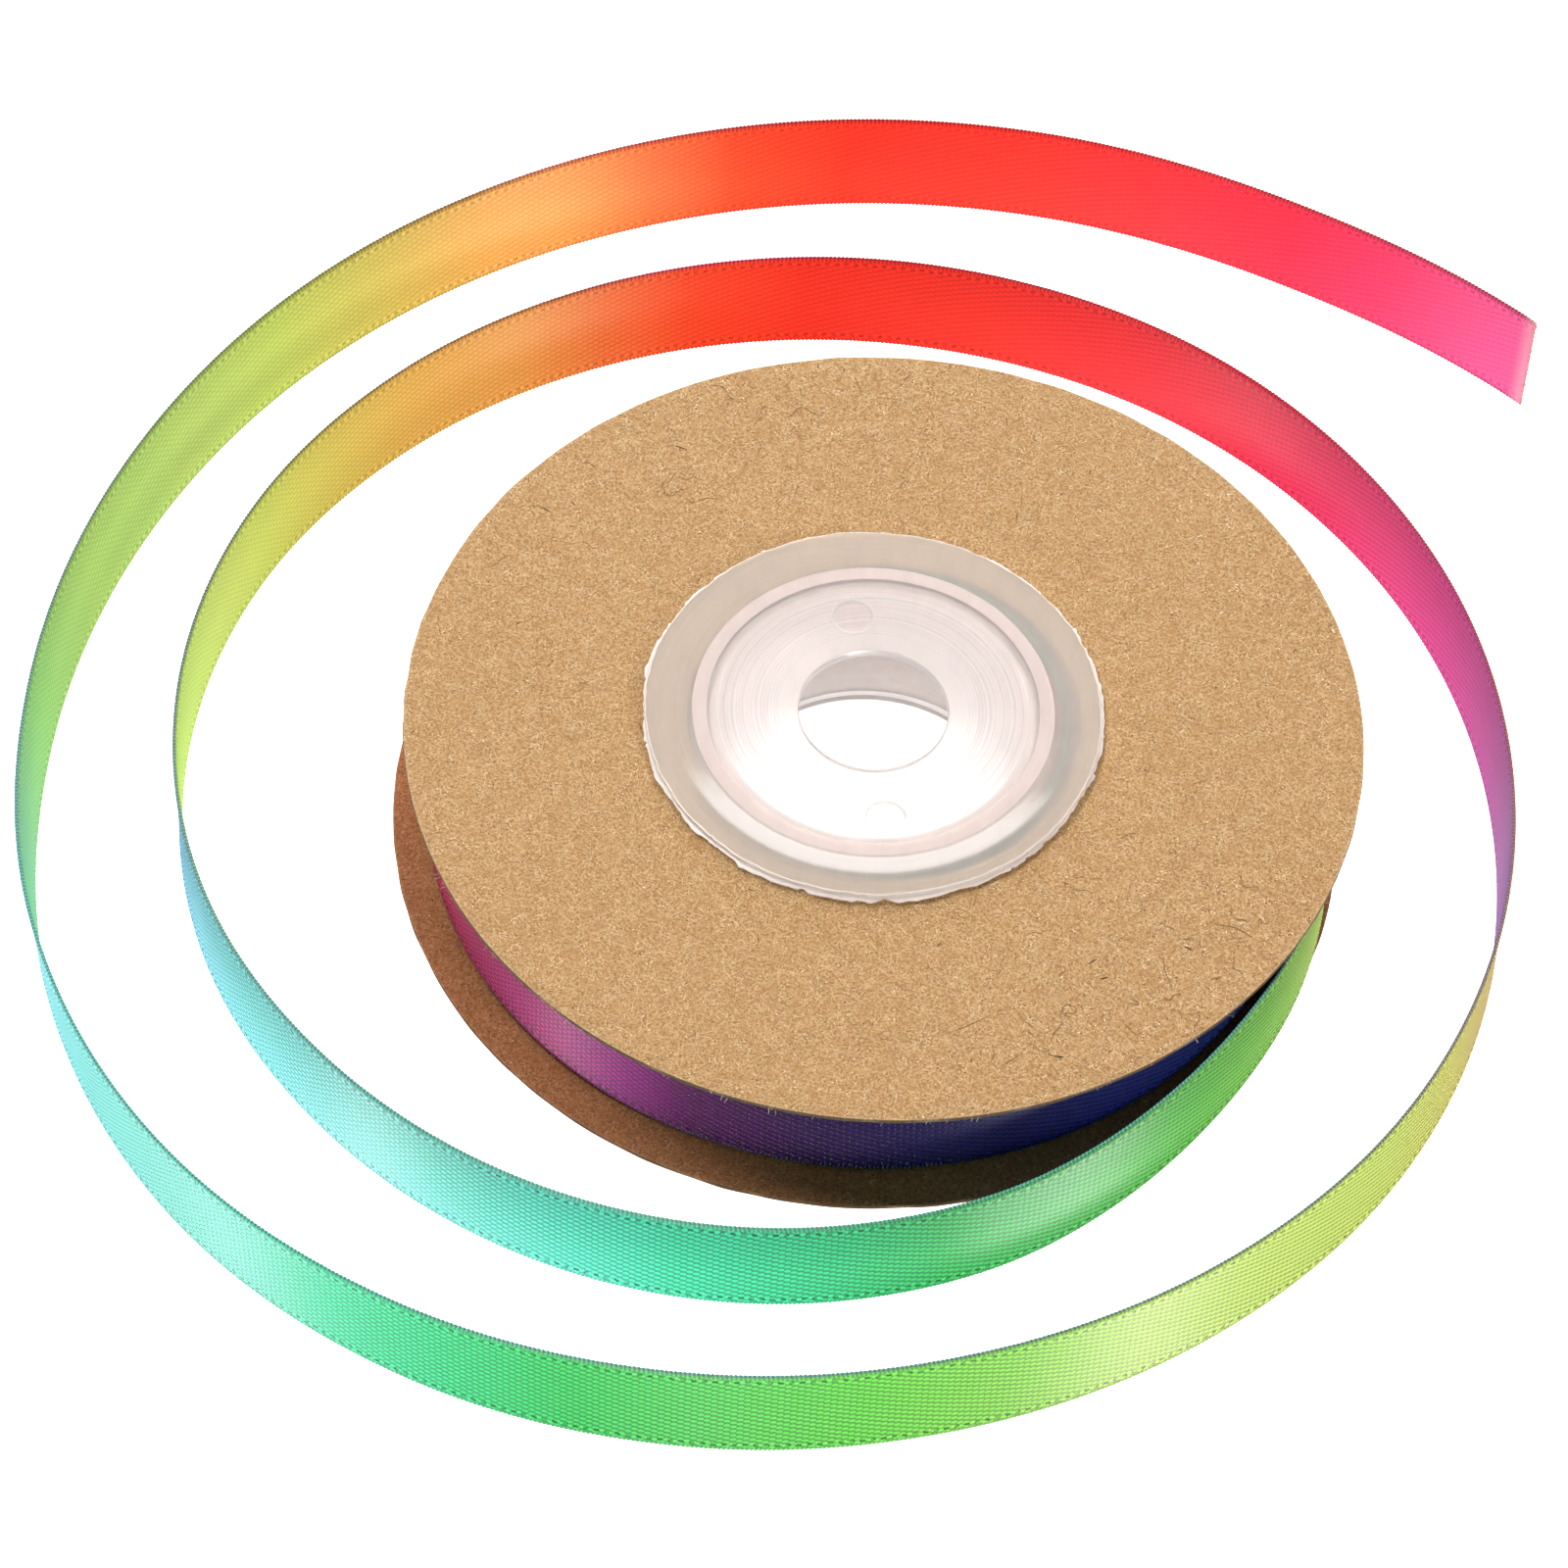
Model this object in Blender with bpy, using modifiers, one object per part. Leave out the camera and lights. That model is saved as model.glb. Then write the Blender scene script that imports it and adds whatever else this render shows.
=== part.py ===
"""Ribbon reel: two card discs on a two-part plastic hub, a wound ribbon and its loose tail.

Metres, +Z up. The origin is on the hub's axis, on the surface that the reel lies on.
"""
import bpy
from math import cos, pi, radians, sin
from mathutils import Vector
from mathutils.geometry import interpolate_bezier

MM = 0.001

# Driving dimensions.
GAP = 0.25 * MM                 # clearance between pieces that touch
RIBBON_WIDTH = 10.0 * MM
RIBBON_THICKNESS = 0.3 * MM
WINDING_RADIUS = 33.0 * MM

CARD_RADIUS = 35.6 * MM
CARD_HOLE_RADIUS = 14.6 * MM
CARD_THICKNESS = 0.4 * MM
UPPER_CARD_SHIFT = (0.85 * MM, -0.35 * MM)   # how far each loose disc sits off the hub's axis
LOWER_CARD_SHIFT = (-0.1 * MM, -0.6 * MM)

FLANGE_RADIUS = 17.05 * MM
FLANGE_THICKNESS = 0.6 * MM
WEB_THICKNESS = 0.8 * MM
CENTRE_HOLE_RADIUS = 5.55 * MM
CAP_SLEEVE_RADIUS = 13.4 * MM
CAP_SLEEVE_WALL = 1.0 * MM
BASE_SLEEVE_WALL = 0.8 * MM
LIP_RADIUS = 10.9 * MM          # the inward lip under the base sleeve
PIN_MARK_RADIUS = 1.55 * MM
PIN_MARK_DEPTH = 0.15 * MM
PIN_MARKS = ((-2.0 * MM, 8.6 * MM), (1.4 * MM, -9.9 * MM))
ROUND_STEPS = 96

# Heights, from the surface up.
LOWER_CARD_BOTTOM = FLANGE_THICKNESS + GAP
WINDING_BOTTOM = LOWER_CARD_BOTTOM + CARD_THICKNESS + GAP
WINDING_TOP = WINDING_BOTTOM + RIBBON_WIDTH
UPPER_CARD_BOTTOM = WINDING_TOP + GAP
UPPER_FLANGE_BOTTOM = UPPER_CARD_BOTTOM + CARD_THICKNESS + GAP
HUB_TOP = UPPER_FLANGE_BOTTOM + FLANGE_THICKNESS

# The free ribbon's route seen from above, chosen by hand: (angle in degrees, radius in mm) from the hub's
# axis. It leaves the winding on the right, runs clockwise round the reel, and ends behind it.
TAIL_ROUTE = (
    (20, 33.4), (5, 34.1), (-10, 35.0), (-25, 36.0), (-40, 37.2), (-60, 39.5), (-80, 42.2), (-100, 44.9),
    (-120, 47.3), (-140, 49.4), (-160, 51.2), (-180, 51.8), (-200, 51.4), (-220, 50.2), (-240, 48.8),
    (-260, 47.6), (-280, 46.8), (-300, 46.5), (-320, 46.5), (-340, 46.9), (-360, 47.7), (-380, 49.0),
    (-400, 50.5), (-420, 52.1), (-440, 54.3), (-460, 57.2), (-480, 60.2), (-500, 62.5), (-520, 63.1),
    (-540, 62.2), (-560, 61.6), (-580, 61.5), (-600, 61.6), (-620, 62.0), (-640, 62.8), (-660, 64.2),
    (-678, 67.3),
)
RIM_ANGLE = -42                 # past this angle the tail is clear of the lower disc and starts to drop
FLOOR_ANGLE = -75               # and here its edge is on the surface
TAIL_STEPS_PER_SPAN = 2


def clear_scene():
    for old in list(bpy.data.objects):
        bpy.data.objects.remove(old, do_unlink=True)


def make_collection(name):
    collection = bpy.data.collections.new(name)
    bpy.context.scene.collection.children.link(collection)
    return collection


def make_material(name, colour, roughness, alpha=1.0):
    material = bpy.data.materials.new(name)
    material.use_nodes = True
    shader = material.node_tree.nodes["Principled BSDF"]
    shader.inputs["Base Color"].default_value = (*colour, 1.0)
    shader.inputs["Roughness"].default_value = roughness
    shader.inputs["Metallic"].default_value = 0.0
    shader.inputs["Alpha"].default_value = alpha
    return material


def turned(name, profile, material, collection, centre=(0.0, 0.0)):
    """A closed (radius, height) profile, listed from its outer top downwards, turned about +Z."""
    mesh = bpy.data.meshes.new(name)
    count = len(profile)
    mesh.from_pydata([(radius, 0.0, height) for radius, height in profile],
                     [(i, (i + 1) % count) for i in range(count)], [])
    piece = bpy.data.objects.new(name, mesh)
    collection.objects.link(piece)
    piece.location = (centre[0], centre[1], 0.0)
    screw = piece.modifiers.new("turn", "SCREW")
    screw.axis = "Z"
    screw.angle = 2 * pi
    screw.steps = ROUND_STEPS
    screw.render_steps = ROUND_STEPS
    screw.use_merge_vertices = True
    screw.merge_threshold = 0.00001
    screw.use_smooth_shade = True
    mesh.materials.append(material)
    return piece


def ring(name, inner, outer, bottom, top, material, collection, centre=(0.0, 0.0)):
    profile = ((outer, top), (outer, bottom), (inner, bottom), (inner, top))
    return turned(name, profile, material, collection, centre)


def make_pin_mark_cutter(index, place, collection):
    bpy.ops.mesh.primitive_cylinder_add(vertices=32, radius=PIN_MARK_RADIUS, depth=2 * PIN_MARK_DEPTH,
                                        location=(place[0], place[1], HUB_TOP))
    cutter = bpy.context.object
    cutter.name = f"cut_pin_mark_{index}"
    for owner in list(cutter.users_collection):
        owner.objects.unlink(cutter)
    collection.objects.link(cutter)
    cutter.hide_render = True
    cutter.display_type = "WIRE"
    return cutter


def make_hub_cap(material, collection, cutters):
    """Flange and web share one flat top; the sleeve hangs below them down to the lower flange."""
    sleeve_inner = CAP_SLEEVE_RADIUS - CAP_SLEEVE_WALL
    sleeve_bottom = FLANGE_THICKNESS + GAP
    web_bottom = HUB_TOP - WEB_THICKNESS
    profile = (
        (FLANGE_RADIUS, HUB_TOP),
        (FLANGE_RADIUS, UPPER_FLANGE_BOTTOM),
        (CAP_SLEEVE_RADIUS, UPPER_FLANGE_BOTTOM),
        (CAP_SLEEVE_RADIUS, sleeve_bottom),
        (sleeve_inner, sleeve_bottom),
        (sleeve_inner, web_bottom),
        (CENTRE_HOLE_RADIUS, web_bottom),
        (CENTRE_HOLE_RADIUS, HUB_TOP),
    )
    cap = turned("hub_cap", profile, material, collection)
    for index, place in enumerate(PIN_MARKS, start=1):
        cut = cap.modifiers.new(f"pin_mark_{index}", "BOOLEAN")
        cut.operation = "DIFFERENCE"
        cut.solver = "EXACT"
        cut.object = make_pin_mark_cutter(index, place, cutters)
    return cap


def make_hub_base(material, collection):
    """Lower flange with an inward lip, and the sleeve that plugs into the cap's sleeve."""
    outer = CAP_SLEEVE_RADIUS - CAP_SLEEVE_WALL - GAP
    inner = outer - BASE_SLEEVE_WALL
    top = HUB_TOP - WEB_THICKNESS - GAP
    profile = (
        (outer, top),
        (outer, FLANGE_THICKNESS),
        (FLANGE_RADIUS, FLANGE_THICKNESS),
        (FLANGE_RADIUS, 0.0),
        (LIP_RADIUS, 0.0),
        (LIP_RADIUS, FLANGE_THICKNESS),
        (inner, FLANGE_THICKNESS),
        (inner, top),
    )
    return turned("hub_base", profile, material, collection)


def smooth_route(points, steps):
    """Points on a smooth curve through the route's own points."""
    dense = []
    last = len(points) - 1
    for i in range(last):
        before = points[max(i - 1, 0)]
        after = points[min(i + 2, last)]
        start, end = points[i], points[i + 1]
        handle_out = start + (end - before) / 6
        handle_in = end - (after - start) / 6
        span = interpolate_bezier(start, handle_out, handle_in, end, steps + 1)
        dense.extend(span[:-1])
    dense.append(points[last])
    return dense


def tail_edge_height(angle):
    """Height of the tail's lower edge: level with the winding, then down to the surface."""
    share = min(max((RIM_ANGLE - angle) / (RIM_ANGLE - FLOOR_ANGLE), 0.0), 1.0)
    return WINDING_BOTTOM * (1 - share * share * (3 - 2 * share))


def tail_centre_line():
    """The middle of the tail's width, as points in space."""
    route = smooth_route([Vector(stop) for stop in TAIL_ROUTE], TAIL_STEPS_PER_SPAN)
    return [
        (radius * MM * cos(radians(angle)),
         radius * MM * sin(radians(angle)),
         tail_edge_height(angle) + RIBBON_WIDTH / 2)
        for angle, radius in route
    ]


def make_ribbon_tail(material, collection):
    """A flat ribbon standing on its edge: a curve extruded to its width, then given its thickness."""
    centre_line = tail_centre_line()
    curve = bpy.data.curves.new("ribbon_tail", "CURVE")
    curve.dimensions = "3D"
    curve.twist_mode = "Z_UP"
    curve.extrude = RIBBON_WIDTH / 2
    spline = curve.splines.new("POLY")
    spline.points.add(len(centre_line) - 1)
    for point, place in zip(spline.points, centre_line):
        point.co = (*place, 1.0)
    curve.materials.append(material)
    piece = bpy.data.objects.new("ribbon_tail", curve)
    collection.objects.link(piece)
    solid = piece.modifiers.new("thickness", "SOLIDIFY")
    solid.thickness = RIBBON_THICKNESS
    solid.offset = 0.0
    return piece


def main():
    clear_scene()
    reel = make_collection("ribbon_reel")
    cutters = make_collection("cutters")
    plastic = make_material("clear_plastic", (0.87, 0.83, 0.81), 0.35, alpha=0.6)
    card = make_material("kraft_card", (0.63, 0.43, 0.24), 0.9)
    wound = make_material("satin_wound", (0.55, 0.12, 0.45), 0.4)
    loose = make_material("satin_loose", (0.2, 0.75, 0.5), 0.4)

    make_hub_cap(plastic, reel, cutters)
    make_hub_base(plastic, reel)
    ring("disc_upper", CARD_HOLE_RADIUS, CARD_RADIUS, UPPER_CARD_BOTTOM,
         UPPER_CARD_BOTTOM + CARD_THICKNESS, card, reel, UPPER_CARD_SHIFT)
    ring("disc_lower", CARD_HOLE_RADIUS, CARD_RADIUS, LOWER_CARD_BOTTOM,
         LOWER_CARD_BOTTOM + CARD_THICKNESS, card, reel, LOWER_CARD_SHIFT)
    ring("ribbon_winding", CAP_SLEEVE_RADIUS + GAP, WINDING_RADIUS, WINDING_BOTTOM, WINDING_TOP,
         wound, reel)
    make_ribbon_tail(loose, reel)


main()
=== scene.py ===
"""Detailed look of the ribbon reel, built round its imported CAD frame.

Metres, +Z up, in the frame's own axes: the origin is on the hub's axis, on the surface it lies on.
"""
from math import cos, pi, radians, sin

import bpy
import numpy as np
from mathutils import Matrix, Vector
from mathutils.geometry import interpolate_bezier


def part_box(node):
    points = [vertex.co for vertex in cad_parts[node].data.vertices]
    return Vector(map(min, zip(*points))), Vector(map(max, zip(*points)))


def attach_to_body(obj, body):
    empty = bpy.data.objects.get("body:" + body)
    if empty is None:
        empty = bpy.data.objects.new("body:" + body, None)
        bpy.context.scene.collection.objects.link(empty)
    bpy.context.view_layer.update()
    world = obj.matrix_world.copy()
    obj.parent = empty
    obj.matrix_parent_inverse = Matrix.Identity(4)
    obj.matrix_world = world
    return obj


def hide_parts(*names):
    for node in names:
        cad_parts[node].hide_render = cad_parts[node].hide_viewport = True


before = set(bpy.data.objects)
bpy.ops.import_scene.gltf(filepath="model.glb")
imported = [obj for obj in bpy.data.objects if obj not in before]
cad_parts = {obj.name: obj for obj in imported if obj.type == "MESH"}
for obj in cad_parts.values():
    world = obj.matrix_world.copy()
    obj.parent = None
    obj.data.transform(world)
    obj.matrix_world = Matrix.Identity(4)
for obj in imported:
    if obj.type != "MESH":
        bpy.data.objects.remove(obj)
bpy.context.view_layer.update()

MM = 0.001
TURN = 2 * pi


def radius_of(node):
    low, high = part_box(node)
    return (high.x - low.x) / 2


def middle_of(node):
    low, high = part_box(node)
    return np.array((low + high) / 2)


# Sizes read from the frame.
HUB_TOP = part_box("hub_cap")[1].z
SLEEVE_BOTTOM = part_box("hub_cap")[0].z
BASE_SLEEVE_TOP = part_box("hub_base")[1].z
FLANGE_RADIUS = radius_of("hub_cap")
CARD_RADIUS = radius_of("disc_upper")
WINDING_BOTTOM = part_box("ribbon_winding")[0].z
RIBBON_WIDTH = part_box("ribbon_winding")[1].z - WINDING_BOTTOM

# Sizes that the frame's boxes don't give, as in the part's source.
CARD_HOLE_RADIUS = 14.6 * MM
FLANGE_THICKNESS = 0.6 * MM
WEB_THICKNESS = 0.8 * MM
CENTRE_HOLE_RADIUS = 5.55 * MM
CAP_SLEEVE_RADIUS = 13.4 * MM
CAP_SLEEVE_WALL = 1.0 * MM
BASE_SLEEVE_RADIUS = 12.15 * MM
BASE_SLEEVE_WALL = 0.8 * MM
LIP_RADIUS = 10.9 * MM
PIN_MARK_RADIUS = 1.55 * MM
PIN_MARK_DEPTH = 0.12 * MM
PIN_MARKS = ((-2.0 * MM, 8.6 * MM), (1.4 * MM, -9.9 * MM))

# The free ribbon's route from above, as in the part's source: (angle in degrees, radius in mm).
TAIL_ROUTE = (
    (20, 33.4), (5, 34.1), (-10, 35.0), (-25, 36.0), (-40, 37.2), (-60, 39.5), (-80, 42.2), (-100, 44.9),
    (-120, 47.3), (-140, 49.4), (-160, 51.2), (-180, 51.8), (-200, 51.4), (-220, 50.2), (-240, 48.8),
    (-260, 47.6), (-280, 46.8), (-300, 46.5), (-320, 46.5), (-340, 46.9), (-360, 47.7), (-380, 49.0),
    (-400, 50.5), (-420, 52.1), (-440, 54.3), (-460, 57.2), (-480, 60.2), (-500, 62.5), (-520, 63.1),
    (-540, 62.2), (-560, 61.6), (-580, 61.5), (-600, 61.6), (-620, 62.0), (-640, 62.8), (-660, 64.2),
    (-678, 67.3),
)
# The last wrap on the winding, which the tail grows out of. It turns with the tail.
WRAP_ROUTE = (
    (380, 32.95), (350, 32.97), (320, 32.99), (290, 33.01), (260, 33.03), (230, 33.05), (200, 33.07),
    (170, 33.09), (140, 33.11), (110, 33.13), (80, 33.15), (60, 33.17), (40, 33.24),
)
ROUTE_STEPS = 40                # points worked out between one stop of the route and the next
RIM_ANGLE = -42                 # past this angle the tail is clear of the lower disc and starts to drop
FLOOR_ANGLE = -75               # and here its edge is on the surface
LEAN_ANGLE = -540               # round here the ribbon leans outward
LEAN = 0.7 * MM                 # by this much at its top
LEAN_SPREAD = 55                # degrees
LEAN_CURVE = 1.5                # the lean grows with this power of the height
CUP = 0.06 * MM                 # the free ribbon's middle swings in and out by this much
CUP_PITCH = 31 * MM             # 2 pi times this is one swing out and back
CUP_START = 40 * MM             # and is full from this length on

# The ribbon's section and weave.
BEAD_THICKNESS = 0.3 * MM
BEAD_WIDTH = 0.5 * MM
LOOP_PITCH = 0.32 * MM          # the little loops along both edges
LOOP_DEPTH = 0.05 * MM
LOOP_SWELL = 0.12               # the share by which the bead gets thicker and thinner with them
LOOPED_FROM, LOOPED_SPAN = 0.9, 0.1     # the loops' part of the half width, as shares of it
FLOAT_PITCH = 0.46 * MM         # the satin's floats: one to the next along the ribbon
FLOAT_ROW = 0.57 * MM           # and across it
FLOAT_SHIFT = 0.3               # each column starts this share of a row further up
FLOAT_SHARE = 0.46              # the share of the cloth that the floats cover
STITCH_PITCH = 0.75 * MM        # the row of stitches just inside each edge
SATIN_SHINES_THROUGH = 0.28     # the share of light that passes through the cloth

# The winding: one spiral of ribbon.
WINDING_TURNS = 70
WINDING_STEPS = 120             # per turn
WOUND_THICKNESS = 0.24 * MM
WOUND_BEVEL = 0.12 * MM
WOUND_EDGE = 0.4                # its edges' thickness as a share of its own
WOUND_UNEVEN = 0.05 * MM        # its turns stand higher and lower by this much
SLEEVE_GAP = 0.25 * MM          # from the sleeve to the innermost turn
WRAP_GAP = 0.28 * MM            # from the outermost turn's middle to the last wrap's

# The print on each face: the repeat's length in mm, then (mm along it, sRGB colour).
OUTER_PRINT = (335, (
    (0, (190, 208, 88)), (12, (188, 213, 92)), (24, (180, 215, 88)), (34, (132, 205, 68)),
    (44, (106, 207, 72)), (56, (98, 206, 98)), (65, (68, 203, 100)), (74, (72, 215, 140)),
    (84, (84, 228, 173)), (92, (112, 233, 204)), (100, (134, 232, 218)), (110, (138, 230, 230)),
    (120, (146, 232, 246)), (132, (146, 212, 250)), (150, (75, 110, 205)), (165, (40, 55, 160)),
    (178, (26, 10, 92)), (186, (38, 8, 90)), (194, (66, 10, 88)), (202, (112, 12, 104)),
    # The stops at 208 and 214 mm are partly print and partly painted highlight: brighter where the last
    # wrap on the winding catches the lamps.
    (208, (200, 24, 166)), (214, (226, 26, 160)), (222, (190, 10, 108)), (232, (186, 12, 72)),
    (248, (228, 24, 42)), (270, (230, 72, 48)), (290, (222, 116, 60)), (308, (205, 160, 90)),
    (318, (200, 178, 100)), (326, (200, 196, 88)),
))
INNER_PRINT = (350, (
    (0, (70, 90, 180)), (25, (80, 130, 205)), (50, (110, 190, 220)), (75, (110, 212, 205)),
    (97, (105, 205, 160)), (117, (142, 200, 145)), (128, (165, 222, 118)), (142, (196, 234, 112)),
    (152, (200, 234, 115)), (162, (206, 230, 113)), (169, (210, 228, 104)), (178, (224, 210, 96)),
    (186, (238, 192, 90)), (196, (246, 175, 84)), (204, (247, 124, 62)), (211, (248, 79, 41)),
    (220, (251, 60, 40)), (236, (251, 63, 54)), (247, (245, 61, 69)), (257, (234, 52, 79)),
    (266, (227, 59, 105)), (274, (222, 74, 134)), (283, (206, 78, 150)), (296, (177, 94, 161)),
    (304, (163, 113, 168)), (320, (120, 100, 170)), (335, (90, 90, 175)),
))
PAINTED_LIGHT_FROM = (480, 525)         # painted light: the inner face's print is made paler between these places along the ribbon, standing in for brighter light on the cloth there
INNER_END_PRINT = 195           # where the print stands at the ribbon's hidden inner end, in mm
INNER_END_ANGLE = 180           # and the angle there


# ---------------- camera, lights and floor

CAMERA_PLACE = Vector((-0.0001, -0.2780, 0.37265))
CAMERA_AIM = Vector((-0.0064, 0.0023, 0.0))
CAMERA_ROLL = 2.75              # degrees
CAMERA_LENS = 141.0             # mm
CAMERA_SENSOR = 36.0            # mm

LIGHT_DISTANCE = 0.9
LIGHTS = (                      # name, azimuth, elevation in degrees, size in metres, watts, sheen only
    ("right_softbox", -45, 28, 0.26, 3.9, False),
    ("left_softbox", -192, 62, 0.30, 5.8, False),
    ("back_softbox", 90, 42, 1.30, 15.0, False),
    ("right_sheen", -40, 27, 0.16, 32.0, True),
    ("left_sheen", -156, 40, 0.16, 33.0, True),
)
ROOM_LIGHT = 0.08
FLOOR_SIZE = 6.0
FLOOR_DROP = 0.02 * MM          # below the part, so that the two don't share a plane
FLOOR_GLOW = 2.3                # the surface is lit from below, which lights the ribbon's upright faces
FLOOR_GLOW_IN_HOLE = 1.2        # less so in the middle, seen through the hub
FLOOR_GLOW_RISE = (LIP_RADIUS + 5 * MM, LIP_RADIUS + 20 * MM)   # and it rises between these radii


def aim(place, target, roll=0.0):
    """A matrix at place that looks down its own -Z at target, turned by roll degrees about that."""
    turn = (target - place).to_track_quat("-Z", "Y").to_matrix().to_4x4()
    return Matrix.Translation(place) @ turn @ Matrix.Rotation(radians(roll), 4, "Z")


def add_camera():
    camera = bpy.data.objects.new("camera", bpy.data.cameras.new("camera"))
    camera.data.lens = CAMERA_LENS
    camera.data.sensor_width = CAMERA_SENSOR
    camera.data.clip_start = 0.01
    camera.data.clip_end = 20.0
    camera.matrix_world = aim(CAMERA_PLACE, CAMERA_AIM, CAMERA_ROLL)
    bpy.context.scene.collection.objects.link(camera)
    bpy.context.scene.camera = camera


def satin_group():
    """The pieces that the sheen lamps light."""
    if "satin" in bpy.data.collections:
        return bpy.data.collections["satin"]
    return bpy.data.collections.new("satin")


def add_softbox(name, place, size, power, sheen_only):
    lamp = bpy.data.lights.new(name, "AREA")
    lamp.shape = "DISK"
    lamp.size = size
    lamp.energy = power
    softbox = bpy.data.objects.new(name, lamp)
    softbox.visible_diffuse = not sheen_only
    softbox.visible_transmission = not sheen_only
    if sheen_only:
        softbox.light_linking.receiver_collection = satin_group()
    softbox.matrix_world = aim(place, Vector((0.0, 0.0, 0.0)))
    bpy.context.scene.collection.objects.link(softbox)


def add_lights():
    for name, azimuth, elevation, size, power, sheen_only in LIGHTS:
        level = cos(radians(elevation))
        direction = Vector((level * cos(radians(azimuth)), level * sin(radians(azimuth)),
                            sin(radians(elevation))))
        add_softbox(name, direction * LIGHT_DISTANCE, size, power, sheen_only)
    world = bpy.data.worlds.new("studio")
    world.use_nodes = True
    background = world.node_tree.nodes["Background"]
    background.inputs["Strength"].default_value = ROOM_LIGHT
    background.inputs["Color"].default_value = WHITE
    bpy.context.scene.world = world
    bpy.context.scene.view_settings.view_transform = "Standard"


def add_floor():
    half = FLOOR_SIZE / 2
    mesh = bpy.data.meshes.new("floor")
    mesh.from_pydata([(-half, -half, 0), (half, -half, 0), (half, half, 0), (-half, half, 0)], [],
                     [(0, 1, 2, 3)])
    material = bpy.data.materials.new("floor")
    material.use_nodes = True
    tree = material.node_tree
    tree.nodes.clear()
    place = add_node(tree, "ShaderNodeTexCoord").outputs["Object"]
    distance = add_node(tree, "ShaderNodeVectorMath", {0: place}, operation="LENGTH").outputs["Value"]
    outside = ease(tree, distance, *FLOOR_GLOW_RISE)
    strength = line(tree, outside, FLOOR_GLOW - FLOOR_GLOW_IN_HOLE, FLOOR_GLOW_IN_HOLE)
    glow = add_node(tree, "ShaderNodeEmission", {"Strength": strength})
    output = tree.nodes.new("ShaderNodeOutputMaterial")
    tree.links.new(glow.outputs[0], output.inputs["Surface"])
    mesh.materials.append(material)
    floor = bpy.data.objects.new("floor", mesh)
    floor.location.z = -FLOOR_DROP
    bpy.context.scene.collection.objects.link(floor)


# ---------------- material helpers

WHITE = (1.0, 1.0, 1.0, 1.0)
MIX_FIRST, MIX_SECOND, MIX_RESULT = 6, 7, 2     # the colour sockets of a Mix node


def linear(colour):
    """An sRGB colour in 0..255 as linear RGBA."""
    shares = [channel / 255 for channel in colour]
    return (*((v / 12.92 if v <= 0.04045 else ((v + 0.055) / 1.055) ** 2.4) for v in shares), 1.0)


def plug(tree, socket, value):
    """Feeds a socket from another node's output, or sets it."""
    if isinstance(value, bpy.types.NodeSocket):
        tree.links.new(value, socket)
    else:
        socket.default_value = value


def set_inputs(tree, node, inputs):
    for key, value in inputs.items():
        plug(tree, node.inputs[key], value)


def add_node(tree, kind, inputs=None, **settings):
    node = tree.nodes.new(kind)
    for key, value in settings.items():
        setattr(node, key, value)
    set_inputs(tree, node, inputs or {})
    return node


def calculate(tree, operation, first, second=0.0):
    return add_node(tree, "ShaderNodeMath", {0: first, 1: second}, operation=operation).outputs[0]


def plus(tree, first, second):
    return calculate(tree, "ADD", first, second)


def minus(tree, first, second):
    return calculate(tree, "SUBTRACT", first, second)


def times(tree, first, second):
    return calculate(tree, "MULTIPLY", first, second)


def gap(tree, first, second):
    """How far apart two values are."""
    return calculate(tree, "ABSOLUTE", minus(tree, first, second))


def line(tree, value, slope, offset):
    node = add_node(tree, "ShaderNodeMath", {0: value, 1: slope, 2: offset}, operation="MULTIPLY_ADD")
    return node.outputs[0]


def wave(tree, value, pitch):
    """Goes between 0 and 1 and back once in every pitch."""
    return line(tree, calculate(tree, "SINE", times(tree, value, TURN / pitch)), slope=0.5, offset=0.5)


def flat_distance(tree, place, centre=(0.0, 0.0)):
    """How far a place is from an upright line through centre."""
    split = add_node(tree, "ShaderNodeSeparateXYZ", {0: place})
    x = minus(tree, split.outputs["X"], centre[0])
    y = minus(tree, split.outputs["Y"], centre[1])
    return calculate(tree, "SQRT", plus(tree, times(tree, x, x), times(tree, y, y)))


def ease(tree, value, start, end):
    """0 at start and 1 at end, with soft ends. The start may be the larger of the two."""
    node = add_node(tree, "ShaderNodeMapRange", {"Value": value, "From Min": start, "From Max": end},
                    interpolation_type="SMOOTHSTEP")
    return node.outputs["Result"]


def blend_colour(tree, share, first, second, mode="MIX"):
    node = add_node(tree, "ShaderNodeMix", data_type="RGBA", blend_type=mode)
    plug(tree, node.inputs["Factor"], share)
    plug(tree, node.inputs[MIX_FIRST], first)
    plug(tree, node.inputs[MIX_SECOND], second)
    return node.outputs[MIX_RESULT]


def shaded(tree, colour, shade):
    """The colour times a shade, which is a number or another colour."""
    return blend_colour(tree, 1.0, colour, shade, "MULTIPLY")


def noise(tree, vector, scale, detail=2.0, roughness=0.5):
    node = add_node(tree, "ShaderNodeTexNoise",
                    {"Vector": vector, "Scale": scale, "Detail": detail, "Roughness": roughness})
    return node.outputs["Fac"]


def mapped(tree, vector, scale=(1.0, 1.0, 1.0), turn=0.0):
    """Coordinates scaled and then turned about Z, by radians."""
    node = add_node(tree, "ShaderNodeMapping", {"Vector": vector, "Scale": scale, "Rotation": (0, 0, turn)})
    return node.outputs["Vector"]


def millimetres(tree):
    """The piece's own coordinates, in millimetres."""
    place = add_node(tree, "ShaderNodeTexCoord").outputs["Object"]
    return mapped(tree, place, (1000, 1000, 1000))


def bump(tree, height, distance, strength=1.0):
    node = add_node(tree, "ShaderNodeBump", {"Height": height, "Distance": distance, "Strength": strength})
    return node.outputs["Normal"]


def new_material(name):
    material = bpy.data.materials.new(name)
    material.use_nodes = True
    tree = material.node_tree
    return material, tree, tree.nodes["Principled BSDF"]


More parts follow.
